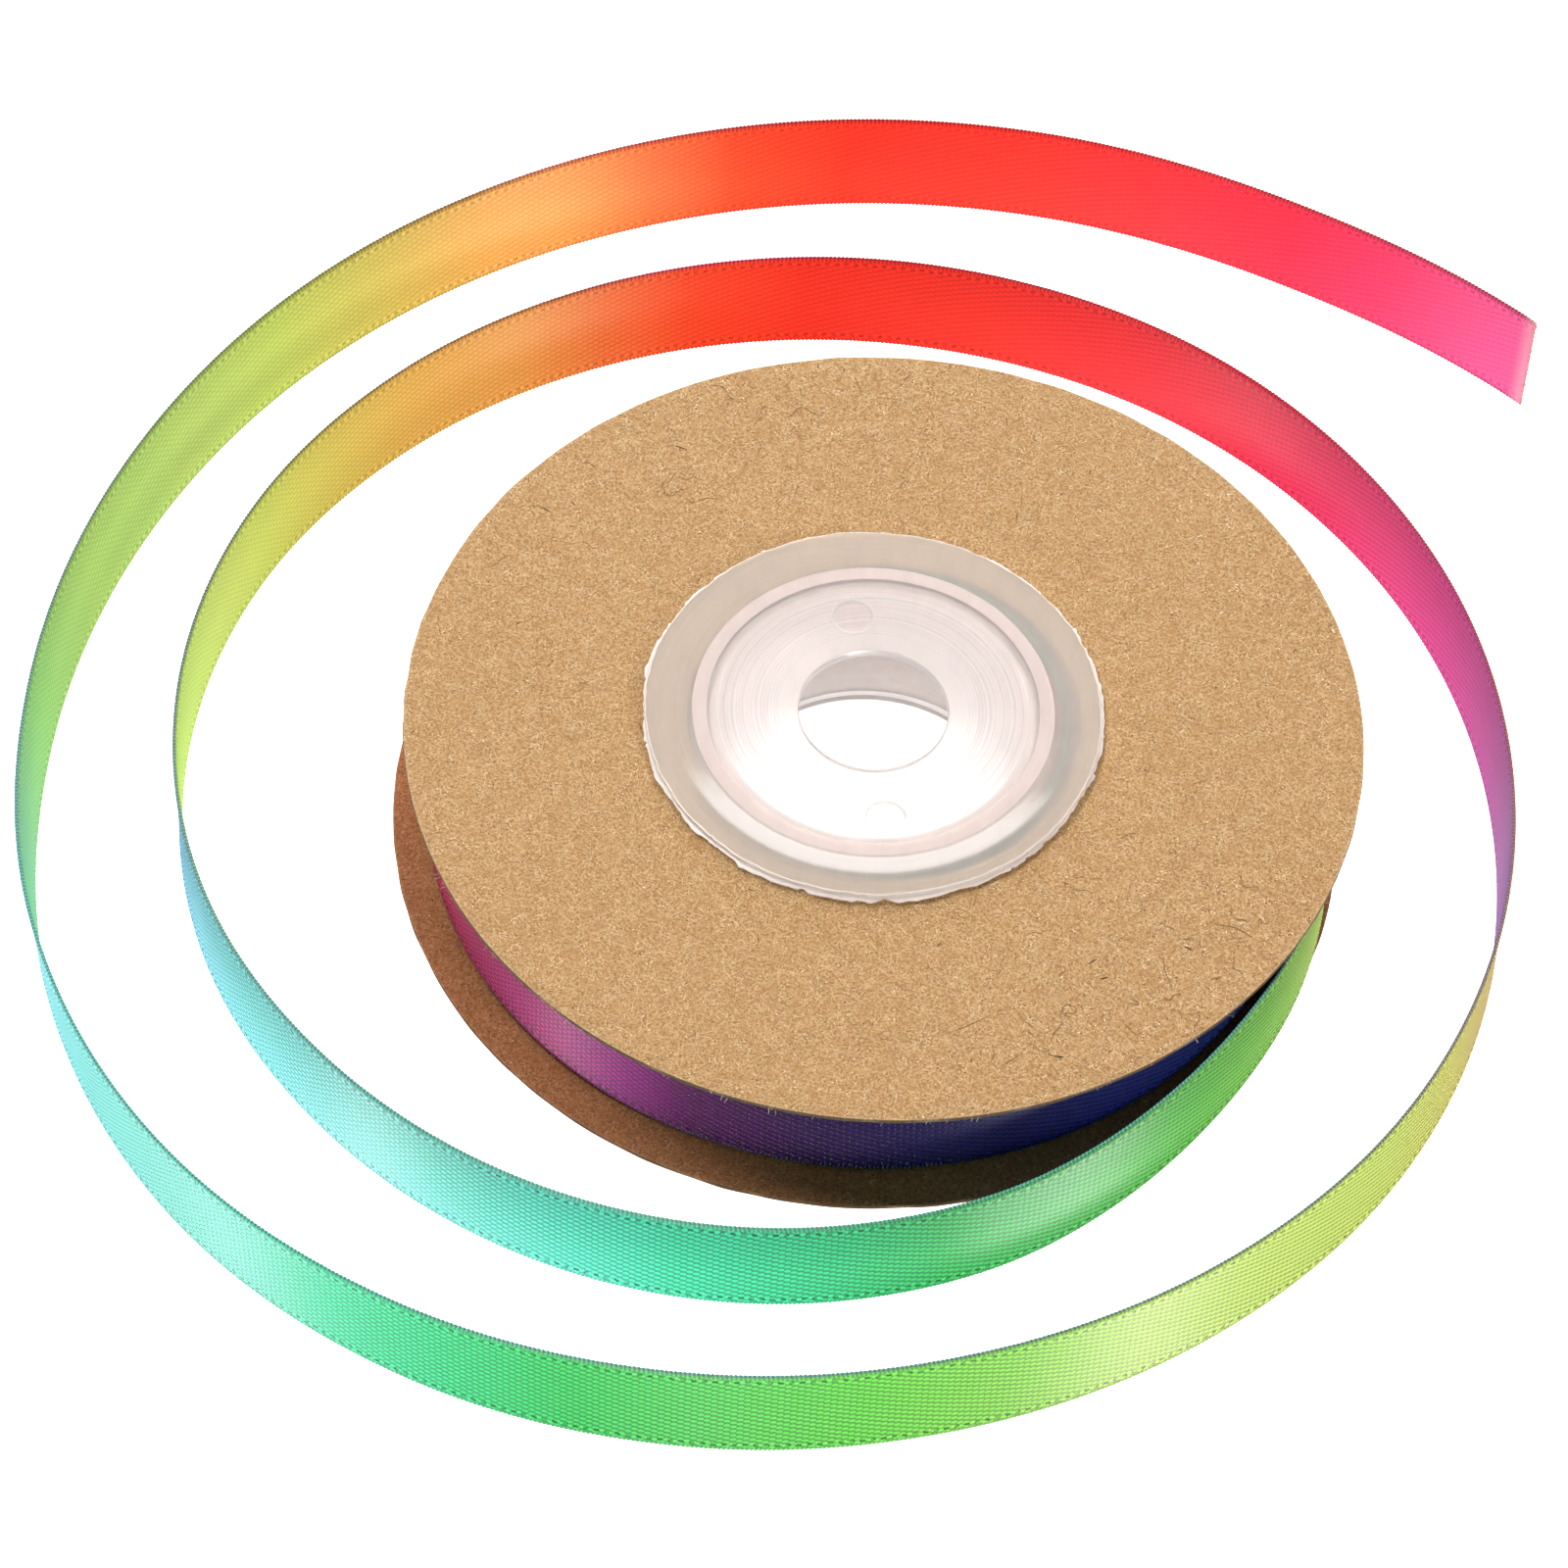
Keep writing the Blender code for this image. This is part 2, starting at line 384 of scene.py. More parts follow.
def shine_through(tree, shader, colour, share):
    """Lets a share of the light pass through the surface, scattered."""
    through = add_node(tree, "ShaderNodeBsdfTranslucent", {"Color": colour})
    mix = add_node(tree, "ShaderNodeMixShader", {0: share})
    tree.links.new(shader.outputs[0], mix.inputs[1])
    tree.links.new(through.outputs[0], mix.inputs[2])
    tree.links.new(mix.outputs[0], tree.nodes["Material Output"].inputs["Surface"])


# ---------------- satin

# In a pair for ease(), an effect starts at the first number and is full at the second.
BEAD_ZONE = (4.5, 4.62)         # mm from the ribbon's middle line
TIP_ZONE = (4.86, 4.97)         # where the back's print wraps round the bead
TIP_SHARE = 0.65
STITCH_LINE = 4.2               # mm from the ribbon's middle line
STITCH_FADE = (0.26, 0.08)      # mm from the stitches' line
STITCH_MEAN = 0.55              # the cloth is darker between stitches by this share of their strength
FLOAT_SLIMMING = (1.6, 3.0)     # how much slimmer than its place in the lattice a float is, each way
FLOAT_FADE = (1.1, 0.4)
STREAK_SCALE = (0.35, 9.0, 1.0)
GROUND_SHADE = 0.83
CUT_FADE = 1.5                  # mm of the ribbon before its cut, where it turns pale
CUT_SHARE = 0.5
CUT_COLOUR = (0.95, 0.55, 0.6, 1.0)


def print_colour(tree, along, face_print):
    """The rainbow print's colour at a place along the ribbon, in mm."""
    repeat, stops = face_print
    share = calculate(tree, "FRACT", calculate(tree, "DIVIDE", along, repeat))
    ramp = add_node(tree, "ShaderNodeValToRGB", {"Fac": share})
    elements = ramp.color_ramp.elements
    elements.remove(elements[1])
    elements[0].position = 0.0
    elements[0].color = linear(stops[0][1])
    for stop, colour in stops[1:]:
        elements.new(stop / repeat).color = linear(colour)
    elements.new(1.0).color = linear(stops[0][1])
    return ramp.outputs["Color"]


def satin_floats(tree, along, across):
    """1 on the floats and 0 between them: slim ovals in a slanted lattice."""
    column = calculate(tree, "DIVIDE", along, FLOAT_PITCH / MM)
    row = minus(tree, calculate(tree, "DIVIDE", across, FLOAT_ROW / MM),
                times(tree, calculate(tree, "FLOOR", column), FLOAT_SHIFT))
    side, rise = (times(tree, minus(tree, calculate(tree, "FRACT", cell), 0.5), slimming)
                  for cell, slimming in zip((column, row), FLOAT_SLIMMING))
    reach = plus(tree, times(tree, side, side), times(tree, rise, rise))
    return ease(tree, reach, *FLOAT_FADE)


def satin_stitches(tree, along, from_middle):
    """Over 0 on the stitches inside both edges, under 0 between them, and 0 elsewhere."""
    row = ease(tree, gap(tree, from_middle, STITCH_LINE), *STITCH_FADE)
    dash = ease(tree, wave(tree, along, STITCH_PITCH / MM), 0.4, 0.7)
    return times(tree, row, minus(tree, dash, STITCH_MEAN))


def make_satin(name, face_print, back_print, roughness, shine, relief, weave_shading, painted_end_light=0.0):
    """Printed satin: long floats tied down in a slanted lattice, shiny across the ribbon, looped edges.

    Of the last three arguments, the first is the weave's depth in mm. The second is how much paler the
    floats are painted than the gaps between them, which is painted light on the raised floats and painted
    shade in the gaps; it also sets how strong the stitches are. The third is painted light: how much paler
    the print is made towards the ribbon's end, where the cloth catches more light.
    """
    material, tree, shader = new_material(name)
    run = add_node(tree, "ShaderNodeUVMap", uv_map="run").outputs["UV"]
    split = add_node(tree, "ShaderNodeSeparateXYZ", {0: run})
    along, across = split.outputs["X"], split.outputs["Y"]
    from_middle = gap(tree, across, RIBBON_WIDTH / MM / 2)

    thread = satin_floats(tree, along, across)
    stitch = satin_stitches(tree, along, from_middle)
    streaks = noise(tree, mapped(tree, run, STREAK_SCALE), scale=1.0, detail=3.0, roughness=0.6)
    grain = noise(tree, run, scale=7.0)
    bead = ease(tree, from_middle, *BEAD_ZONE)
    tip = ease(tree, from_middle, *TIP_ZONE)
    loop = wave(tree, along, LOOP_PITCH / MM)

    # Painted light and shade: the floats are painted paler and the gaps between them darker.
    shade = plus(tree, line(tree, streaks, slope=0.3, offset=GROUND_SHADE - FLOAT_SHARE * weave_shading),
                 times(tree, thread, weave_shading))
    shade = plus(tree, shade, times(tree, stitch, weave_shading * 0.9 + 0.25))
    shade = plus(tree, shade, line(tree, grain, slope=0.2, offset=-0.1))
    # Painted light: the print is made paler towards the ribbon's end.
    shade = times(tree, shade, line(tree, ease(tree, along, *PAINTED_LIGHT_FROM), slope=painted_end_light, offset=1.0))
    face = print_colour(tree, along, face_print)
    back = print_colour(tree, along, back_print)
    # Painted highlight and shade: the bead is lighter on each loop and darker between loops, as light
    # catching the loops; its tip carries the back's print, darker, and is likewise lit loop by loop.
    bead_colour = shaded(tree, face, line(tree, loop, slope=0.5, offset=0.65))
    tip_colour = shaded(tree, back, line(tree, loop, slope=0.4, offset=0.15))
    bead_colour = blend_colour(tree, times(tree, tip, TIP_SHARE), bead_colour, tip_colour)
    colour = blend_colour(tree, bead, shaded(tree, face, shade), bead_colour)
    cut = times(tree, ease(tree, along, TAIL_LENGTH / MM - CUT_FADE, TAIL_LENGTH / MM), CUT_SHARE)
    colour = blend_colour(tree, cut, colour, CUT_COLOUR)

    height = times(tree, thread, minus(tree, 1.0, bead))
    height = plus(tree, height, times(tree, times(tree, loop, bead), 1.4))
    height = plus(tree, height, times(tree, streaks, 0.5))
    tangent = add_node(tree, "ShaderNodeTangent", direction_type="UV_MAP", uv_map="run")
    set_inputs(tree, shader, {
        "Base Color": colour,
        "Normal": bump(tree, height, relief * MM),
        "Roughness": line(tree, grain, slope=0.1, offset=roughness),
        "Tangent": tangent.outputs[0],
        "Anisotropic": 1.0,
        "Anisotropic Rotation": 0.25,
        "IOR": 1.4,
        "Specular IOR Level": shine,
    })
    shine_through(tree, shader, colour, SATIN_SHINES_THROUGH)
    return material


# ---------------- kraft card and fibres

# sRGB colours.
KRAFT_DARK = (124, 90, 54)
KRAFT_LIGHT = (190, 156, 110)
KRAFT_MOTTLE = (148, 108, 62)
KRAFT_WARM = (176, 128, 78)
KRAFT_FIBRE = (226, 200, 160)
KRAFT_HAIR = (112, 76, 42)
KRAFT_SPECK = (84, 56, 30)
# painted glints: pale specks that stand in for light glinting off the card
KRAFT_GLINT = (226, 204, 168)
# the rim's pale colour is partly the paler cut paper and partly painted highlight on its rounded corner
KRAFT_RIM_PALE_AND_LIT = (232, 210, 178)
# painted shade: the card's side at its very edge is painted this dark colour
KRAFT_SIDE_SHADE = (84, 58, 34)
RIM_FADE = (0.2, 0.04)          # mm inside the card's edge
SIDE_SHADE_FADE = 0.06            # mm
STROKE_SCALE = (0.8, 13.0, 3.0)
FIBRE_DARKEST = 0.7


def strokes(tree, place, turns, start, end):
    """Short thin strokes that lie in each of the given directions."""
    total = None
    for turn in turns:
        along = mapped(tree, mapped(tree, place, turn=turn), STROKE_SCALE)
        layer = noise(tree, along, scale=1.0, roughness=0.55)
        layer = ease(tree, layer, start, end)
        total = layer if total is None else calculate(tree, "MAXIMUM", total, layer)
    return total


def make_kraft(name, tint, node):
    """Brown kraft card: soft mottling, short fibres lying every way, clusters of dark specks and of pale
    specks painted as glints, a pale rim that is partly painted highlight, and a cut side painted dark as
    shade.
    """
    material, tree, shader = new_material(name)
    place = millimetres(tree)
    speckle = noise(tree, place, scale=4.6, detail=3.0, roughness=0.7)
    mottle = noise(tree, place, scale=1.1, detail=3.0)
    warm = noise(tree, mapped(tree, place, turn=1.0), scale=0.5)
    cluster = ease(tree, noise(tree, mapped(tree, place, turn=2.0), scale=0.9), 0.46, 0.66)
    specks = noise(tree, mapped(tree, place, turn=0.5), scale=6.5, detail=1.0)
    glints = noise(tree, mapped(tree, place, turn=2.5), scale=6.5, detail=1.0)
    fibres = strokes(tree, place, (0.2, 0.9, 1.7, 2.6), start=0.59, end=0.72)
    hairs = strokes(tree, place, (0.5, 1.3, 2.2, 2.9), start=0.6, end=0.71)
    dark = times(tree, ease(tree, specks, 0.59, 0.68), line(tree, cluster, slope=0.65, offset=0.3))
    # Painted glints: pale specks in clusters, standing in for light glinting off the card.
    pale = times(tree, ease(tree, glints, 0.61, 0.7), line(tree, cluster, slope=0.8, offset=0.06))
    radius = flat_distance(tree, place, middle_of(node) / MM)
    edge = CARD_RADIUS / MM
    rim = ease(tree, radius, edge - RIM_FADE[0], edge - RIM_FADE[1])
    # Painted shade: the card's side, at the very edge, is painted dark.
    side_shade = ease(tree, radius, edge - SIDE_SHADE_FADE, edge)

    base = blend_colour(tree, ease(tree, speckle, 0.3, 0.7), linear(KRAFT_DARK), linear(KRAFT_LIGHT))
    for share, colour in (
        (line(tree, mottle, slope=1.4, offset=-0.5), KRAFT_MOTTLE),
        (line(tree, warm, slope=0.5, offset=-0.15), KRAFT_WARM),
        (times(tree, fibres, 0.42), KRAFT_FIBRE),
        (times(tree, hairs, 0.5), KRAFT_HAIR),
        (dark, KRAFT_SPECK),
        (pale, KRAFT_GLINT),
        # pale rim: partly paler cut paper, partly painted highlight
        (times(tree, rim, 0.15), KRAFT_RIM_PALE_AND_LIT),
        (times(tree, side_shade, 0.75), KRAFT_SIDE_SHADE),
    ):
        base = blend_colour(tree, share, base, linear(colour))

    height = plus(tree, speckle, times(tree, fibres, 0.6))
    height = plus(tree, height, times(tree, minus(tree, glints, specks), 1.2))
    set_inputs(tree, shader, {
        "Base Color": shaded(tree, base, tint),
        "Normal": bump(tree, height, 0.03 * MM, strength=0.7),
        "Roughness": 0.88,
        "Specular IOR Level": 0.25,
    })
    return material


def make_fibre(name, colour, roughness=0.8):
    """Paper fibre or thread: plain but for light and dark stretches."""
    material, tree, shader = new_material(name)
    tone = noise(tree, millimetres(tree), scale=2.0)
    dark = [channel * FIBRE_DARKEST for channel in colour]
    colour = blend_colour(tree, tone, linear(dark), linear(colour))
    set_inputs(tree, shader, {"Base Color": colour, "Roughness": roughness})
    return material


# ---------------- plastic

WEB_MARKED = (6.4, 8.0, 12.2, 11.2)     # the radii in mm between which turning marks fade in, and out
FLANGE_MARKED = (13.5, 14.0, 16.6, 16.3)
RING_SCALE = 5.0
DIP_SHADE_COLOUR = (0.8, 0.62, 0.6, 1.0)      # painted shade between the turning marks and inside the pin marks
FOOT_RADIUS = 14.25                     # mm; the rounded foot of the flange
FOOT_FADE = (0.95, 0.45)                # mm from it
FOOT_FRONT = (-5.5, -10.5)              # mm; it catches the light only at the front
# painted light at the foot of the flange, at the front
FOOT_LIGHT_COLOUR = (0.66, 0.6, 0.575, 1.0)
FOOT_DULLING = 0.6                      # it is less clear by this much


def make_plastic(name, tint, clearness, marks=0.0, marked=WEB_MARKED, glow_through=0.0, painted_foot_light=0.0):
    """Milky clear plastic, with turning marks between two radii and ejector pin marks, as strong as marks;
    their ridges and rims are painted white as highlights, and their dips darker as shade.

    glow_through is the share of light that passes through scattered, as in a thin wall seen from behind.
    The last argument is how white the foot of the flange is painted at the front: painted light where it
    catches the light.
    """
    material, tree, shader = new_material(name)
    place = millimetres(tree)
    radius = flat_distance(tree, place)
    rings = add_node(tree, "ShaderNodeTexNoise", {"W": radius, "Scale": RING_SCALE, "Detail": 2.0},
                     noise_dimensions="1D").outputs["Fac"]
    zone = times(tree, ease(tree, radius, *marked[:2]), ease(tree, radius, *marked[2:]))
    lit_ridges = times(tree, ease(tree, rings, 0.5, 0.62), zone)
    shaded_dips = times(tree, ease(tree, rings, 0.5, 0.4), zone)
    pin_radius = PIN_MARK_RADIUS / MM
    for x, y in PIN_MARKS:
        away = flat_distance(tree, place, (x / MM, y / MM))
        inside = ease(tree, away, pin_radius, pin_radius - 0.2)
        outline = ease(tree, gap(tree, away, pin_radius), 0.13, 0.03)
        shaded_dips = calculate(tree, "MAXIMUM", shaded_dips, inside)
        lit_ridges = calculate(tree, "MAXIMUM", lit_ridges, outline)
    lit_ridges = times(tree, lit_ridges, marks)
    cloud = noise(tree, mapped(tree, place, (1.0, 0.35, 1.0), 0.4), scale=0.9, detail=4.0, roughness=0.6)
    # Painted highlight and shade: ridges and pin-mark rims are painted white, the dips and pin-mark hollows
    # darker.
    colour = blend_colour(tree, times(tree, shaded_dips, marks * 0.5), tint, DIP_SHADE_COLOUR)
    colour = blend_colour(tree, lit_ridges, colour, WHITE)
    colour = shaded(tree, colour, line(tree, cloud, slope=0.3, offset=0.86))
    # Painted light: the foot of the flange is painted whiter and made less clear at the front.
    if painted_foot_light:
        ahead = add_node(tree, "ShaderNodeSeparateXYZ", {0: place}).outputs["Y"]
        foot = ease(tree, gap(tree, radius, FOOT_RADIUS), *FOOT_FADE)
        foot = times(tree, times(tree, foot, ease(tree, ahead, *FOOT_FRONT)), painted_foot_light)
        colour = blend_colour(tree, foot, colour, FOOT_LIGHT_COLOUR)
        clearness = line(tree, foot, slope=-FOOT_DULLING, offset=clearness)
    scratches = noise(tree, mapped(tree, place, (0.25, 12.0, 1.0), 0.4), scale=1.0)
    height = plus(tree, lit_ridges, times(tree, scratches, 0.2))
    set_inputs(tree, shader, {
        "Base Color": colour,
        "Normal": bump(tree, height, 0.03 * MM, strength=0.5),
        "Roughness": 0.3,
        "IOR": 1.49,
        "Transmission Weight": clearness,
    })
    if glow_through:
        shine_through(tree, shader, colour, glow_through)
    return material


# ---------------- mesh helpers

CORNER_SHARE = 0.45             # the most that a rounded corner takes of the sides that meet in it
NO_FIBRE_WAY = (0.31, 0.17, 0.93)       # a direction that no fibre runs in
FIBRE_TAPER = 0.25              # radians; a fibre's thickness follows a half wave, less this at its ends


def grid_faces(rows, columns, closed_rows, closed_columns):
    row, column = np.meshgrid(np.arange(rows if closed_rows else rows - 1),
                              np.arange(columns if closed_columns else columns - 1), indexing="ij")
    next_row, next_column = (row + 1) % rows, (column + 1) % columns
    corners = (row * columns + column, next_row * columns + column,
               next_row * columns + next_column, row * columns + next_column)
    return np.stack(corners, axis=-1).reshape(-1, 4)


def signed_volume(points, faces):
    a, b, c, d = (points[faces[:, k]] for k in range(4))
    return float(np.sum(a * np.cross(b, c)) + np.sum(a * np.cross(c, d)))


def polar(radius, angle):
    """Places from above."""
    return np.stack([radius * np.cos(angle), radius * np.sin(angle)], -1)


def new_mesh(name, points, faces, materials, slots):
    mesh = bpy.data.meshes.new(name)
    mesh.from_pydata(points, [], faces)
    for material in materials:
        mesh.materials.append(material)
    mesh.polygons.foreach_set("material_index", slots)
    mesh.polygons.foreach_set("use_smooth", [True] * len(faces))
    return mesh


def add_piece(name, mesh):
    mesh.update()
    piece = bpy.data.objects.new(name, mesh)
    bpy.context.scene.collection.objects.link(piece)
    return piece


def grid_piece(name, points, materials, closed_rows, run=None, column_material=None):
    """A closed surface on a grid of points: each row is a loop, and the rows close or are capped.

    run gives each point its (along, across) place in mm, and column_material each column's material.
    """
    rows, columns = points.shape[:2]
    flat = points.reshape(-1, 3)
    faces = grid_faces(rows, columns, closed_rows, True)
    slots = np.zeros(len(faces), int)
    if column_material is not None:
        slots = np.tile(column_material, len(faces) // columns)
    inside_out = signed_volume(flat, faces) < 0
    listed = faces.tolist()
    if not closed_rows:
        listed.append(list(range(columns - 1, -1, -1)))
        listed.append(list(range((rows - 1) * columns, rows * columns)))
        slots = np.append(slots, (0, 0))
    mesh = new_mesh(name, flat.tolist(), listed, materials, slots.tolist())
    if run is not None:
        corner = np.empty(len(mesh.loops), np.int32)
        mesh.loops.foreach_get("vertex_index", corner)
        layer = mesh.uv_layers.new(name="run")
        layer.data.foreach_set("uv", run.reshape(-1, 2)[corner].astype(np.float32).ravel())
    if inside_out:
        mesh.flip_normals()
    return add_piece(name, mesh)


def rounded(profile, radius, steps=4):
    """The closed (radius, height) outline with its corners rounded."""
    corners = [Vector(corner) for corner in profile]
    outline = []
    for index, corner in enumerate(corners):
        before, after = corners[index - 1] - corner, corners[(index + 1) % len(corners)] - corner
        start = corner + before.normalized() * min(radius, before.length * CORNER_SHARE)
        end = corner + after.normalized() * min(radius, after.length * CORNER_SHARE)
        for k in range(steps + 1):
            share = k / steps
            outline.append(start.lerp(corner, share).lerp(corner.lerp(end, share), share))
    return outline


def finely(profile, step):
    """The closed outline with points added, so that no side is twice as long as step."""
    outline = []
    for index, corner in enumerate(profile):
        after = profile[(index + 1) % len(profile)]
        pieces = max(1, int((after - corner).length / step))
        outline.extend(corner.lerp(after, k / pieces) for k in range(pieces))
    return outline


def lathe(name, outline, steps, materials, centre=(0.0, 0.0), reshape=None, pick=None):
    """Turns a closed outline about an upright line. reshape may move its (radius, height, angle) grids.

    pick gives the number of the material at a (radius, height) of the outline.
    """
    angle = np.linspace(0, TURN, steps, endpoint=False)[:, None]
    radius = np.array([stop.x for stop in outline])[None, :] + 0 * angle
    height = np.array([stop.y for stop in outline])[None, :] + 0 * angle
    if reshape is not None:
        radius, height = reshape(radius, height, angle)
    points = np.dstack([polar(radius, angle) + centre, height])
    columns = None
    if pick is not None:
        columns = np.array([pick(*((stop + after) / 2)) for stop, after in
                            zip(outline, outline[1:] + outline[:1])])
    return grid_piece(name, points, materials, True, None, columns)


def ragged(angle, rng, waves, slowest=3):
    """Random waviness of about -1..1 round a circle."""
    total = 0 * angle
    for lobes in range(slowest, slowest + waves):
        total = total + np.cos(lobes * angle + rng.uniform(0, TURN)) * rng.uniform(0.4, 1.0)
    return total / waves ** 0.5


def chipped(angle, rng, chips):
    """Random sharp-cornered unevenness in -1..1 round a circle."""
    corners = np.sort(rng.uniform(0, TURN, chips))
    return np.interp(angle, corners, rng.uniform(-1, 1, chips), period=TURN)


def tubes(name, routes, radii, materials, slots):
    """Many thin four-sided fibres as one piece. Each route is an (n, 3) array."""
    points, faces, indexes = [], [], []
    for route, radius, slot in zip(routes, radii, slots):
        start = len(points)
        forward = np.gradient(route, axis=0)
        forward /= np.linalg.norm(forward, axis=1)[:, None]
        side = np.cross(forward, NO_FIBRE_WAY)
        side /= np.linalg.norm(side, axis=1)[:, None]
        up = np.cross(side, forward)
        taper = np.sin(np.linspace(FIBRE_TAPER, pi - FIBRE_TAPER, len(route)))[:, None] * radius
        ring = np.stack([route + taper * way for way in (side, up, -side, -up)], axis=1)
        points.extend(ring.reshape(-1, 3).tolist())
        grid = grid_faces(len(route), 4, False, True) + start
        faces.extend(grid.tolist())
        faces.append([start + 3 - k for k in range(4)])
        faces.append([len(points) - 4 + k for k in range(4)])
        indexes.extend([slot] * (len(grid) + 2))
    return add_piece(name, new_mesh(name, points, faces, materials, indexes))


# ---------------- ribbon

OUTER_SLOT, INNER_SLOT = 0, 1   # the material of each face of a ribbon

CUT_THREADS = 70
CUT_MARGIN = 0.15 * MM          # the threads start this far inside the ribbon's edges
CUT_SUNK = 0.1 * MM             # and this far inside its cut
CUT_STATION = -9                # the ribbon's heading at its end is taken from this point of its line


def smooth_route(points, steps):
    """Points on a smooth curve through the route's own points."""
    dense = []
    last = len(points) - 1
    for i in range(last):
        before = points[max(i - 1, 0)]
        after = points[min(i + 2, last)]
        start, end = points[i], points[i + 1]
        handle_out = start + (end - before) / 6
        handle_in = end - (after - start) / 6
        dense.extend(interpolate_bezier(start, handle_out, handle_in, end, steps + 1)[:-1])
    dense.append(points[last])
    return dense


def ribbon_line():
    """The whole outer ribbon from above: angle (radians), radius, and length along it from the exit."""
    route = smooth_route([Vector(stop) for stop in WRAP_ROUTE + TAIL_ROUTE], ROUTE_STEPS)
    angle = np.radians([stop.x for stop in route])
    radius = np.array([stop.y for stop in route]) * MM
    steps = np.linalg.norm(np.diff(polar(radius, angle), axis=0), axis=1)
    run = np.concatenate([[0.0], np.cumsum(steps)])
    exit_run = np.interp(-radians(TAIL_ROUTE[0][0]), -angle, run)
    return angle, radius, run - exit_run


ROUTE_ANGLE, ROUTE_RADIUS, ROUTE_RUN = ribbon_line()
TAIL_LENGTH = ROUTE_RUN[-1]
WRAP_START = ROUTE_RUN[0]


def on_line(run):
    """The angle and the place from above at each length along the ribbon's line."""
    angle = np.interp(run, ROUTE_RUN, ROUTE_ANGLE)
    return angle, polar(np.interp(run, ROUTE_RUN, ROUTE_RADIUS), angle)


def edge_height(angle):
    """Height of the ribbon's lower edge: level with the winding, then down to the surface."""
    share = np.clip((RIM_ANGLE - np.degrees(angle)) / (RIM_ANGLE - FLOOR_ANGLE), 0, 1)
    return WINDING_BOTTOM * (1 - share * share * (3 - 2 * share))


def ribbon_section():
    """One loop round the ribbon: (across, distance from its middle) and each part's material."""
    width, bead = RIBBON_WIDTH, BEAD_WIDTH
    # Distance in from an edge, and half the thickness there as a share of the bead's.
    stops = [(0.06 * MM, 0.34), (0.3 * bead + 0.1 * MM, 0.5), (bead, 0.38), (0.35 * width, 0.33)]
    side = [(across, share * BEAD_THICKNESS) for across, share in stops]
    side += [(width - across, half) for across, half in reversed(side)]
    outer = [(0.0, 0.0)] + side
    inner = [(width, 0.0)] + [(across, -half) for across, half in reversed(side)]
    return np.array(outer + inner), np.array([OUTER_SLOT] * len(outer) + [INNER_SLOT] * len(inner))


def run_layer(run, across):
    """Each point's (along, across) place on a ribbon, in mm."""
    along, across = np.broadcast_arrays(run[:, None] / MM, across[None, :] / MM)
    return np.stack([along, across], -1)


def ribbon_strip(name, start, end, materials):
    """The ribbon between two lengths along its line, standing on its edge."""
    stations = int(round((end - start) / (LOOP_PITCH / 2)))
    run = np.linspace(start, end, stations + 1)
    angle, level = on_line(run)
    forward = np.gradient(level, axis=0)
    forward /= np.linalg.norm(forward, axis=1)[:, None]
    outward = np.stack([-forward[:, 1], forward[:, 0]], -1)

    section, slots = ribbon_section()
    across, thick = section[:, 0][None, :], section[:, 1][None, :]
    loop = np.where(np.arange(stations + 1) % 2 == 0, 1.0, -1.0)[:, None]
    from_middle = across / RIBBON_WIDTH * 2 - 1
    on_edge = np.clip((np.abs(from_middle) - LOOPED_FROM) / LOOPED_SPAN, 0, 1)
    height = across + np.sign(from_middle) * on_edge * LOOP_DEPTH * (loop - 1)
    thick = thick * (1 + LOOP_SWELL * loop * (on_edge > 0) * (on_edge < 1))
    lean = LEAN * np.exp(-((np.degrees(angle) - LEAN_ANGLE) / LEAN_SPREAD) ** 2)[:, None]
    cup = CUP * (1 - from_middle ** 2) * np.sin(run / CUP_PITCH)[:, None]
    free = np.clip(run / CUP_START, 0, 1)[:, None]
    aside = thick + lean * (across / RIBBON_WIDTH) ** LEAN_CURVE + cup * free
    points = np.stack([level[:, 0:1] + outward[:, 0:1] * aside, level[:, 1:2] + outward[:, 1:2] * aside,
                       edge_height(angle)[:, None] + height], -1)
    return grid_piece(name, points, materials, False, run_layer(run, section[:, 0]), slots)


def wound_ribbon(name, materials):
    """The ribbon wound on the hub, as one long spiral."""
    steps = WINDING_TURNS * WINDING_STEPS
    turn = np.linspace(0, WINDING_TURNS, steps + 1)
    angle = radians(INNER_END_ANGLE) - turn * TURN
    first = CAP_SLEEVE_RADIUS + SLEEVE_GAP + WOUND_THICKNESS / 2
    last = WRAP_ROUTE[0][1] * MM - WRAP_GAP
    radius = first + (last - first) * turn / WINDING_TURNS
    run = np.concatenate([[0.0], np.cumsum(np.diff(turn) * TURN * radius[1:])]) + INNER_END_PRINT * MM
    half = WOUND_THICKNESS / 2
    side = [(0.0, WOUND_EDGE * half), (WOUND_BEVEL, half), (RIBBON_WIDTH - WOUND_BEVEL, half),
            (RIBBON_WIDTH, WOUND_EDGE * half)]
    section = np.array(side + [(across, -out) for across, out in reversed(side)])
    slots = np.array([OUTER_SLOT] * len(side) + [INNER_SLOT] * len(side))
    rng = np.random.default_rng(4)
    # The waves don't repeat from turn to turn.
    uneven = WOUND_UNEVEN * ragged(turn * TURN / 1.07, rng, waves=6, slowest=1)[:, None]
    distance = radius[:, None] + section[:, 1][None, :]
    height = WINDING_BOTTOM + section[:, 0][None, :] + uneven
    points = np.dstack([polar(distance, angle[:, None]), height])
    return grid_piece(name, points, materials, False, run_layer(run, section[:, 0]), slots)


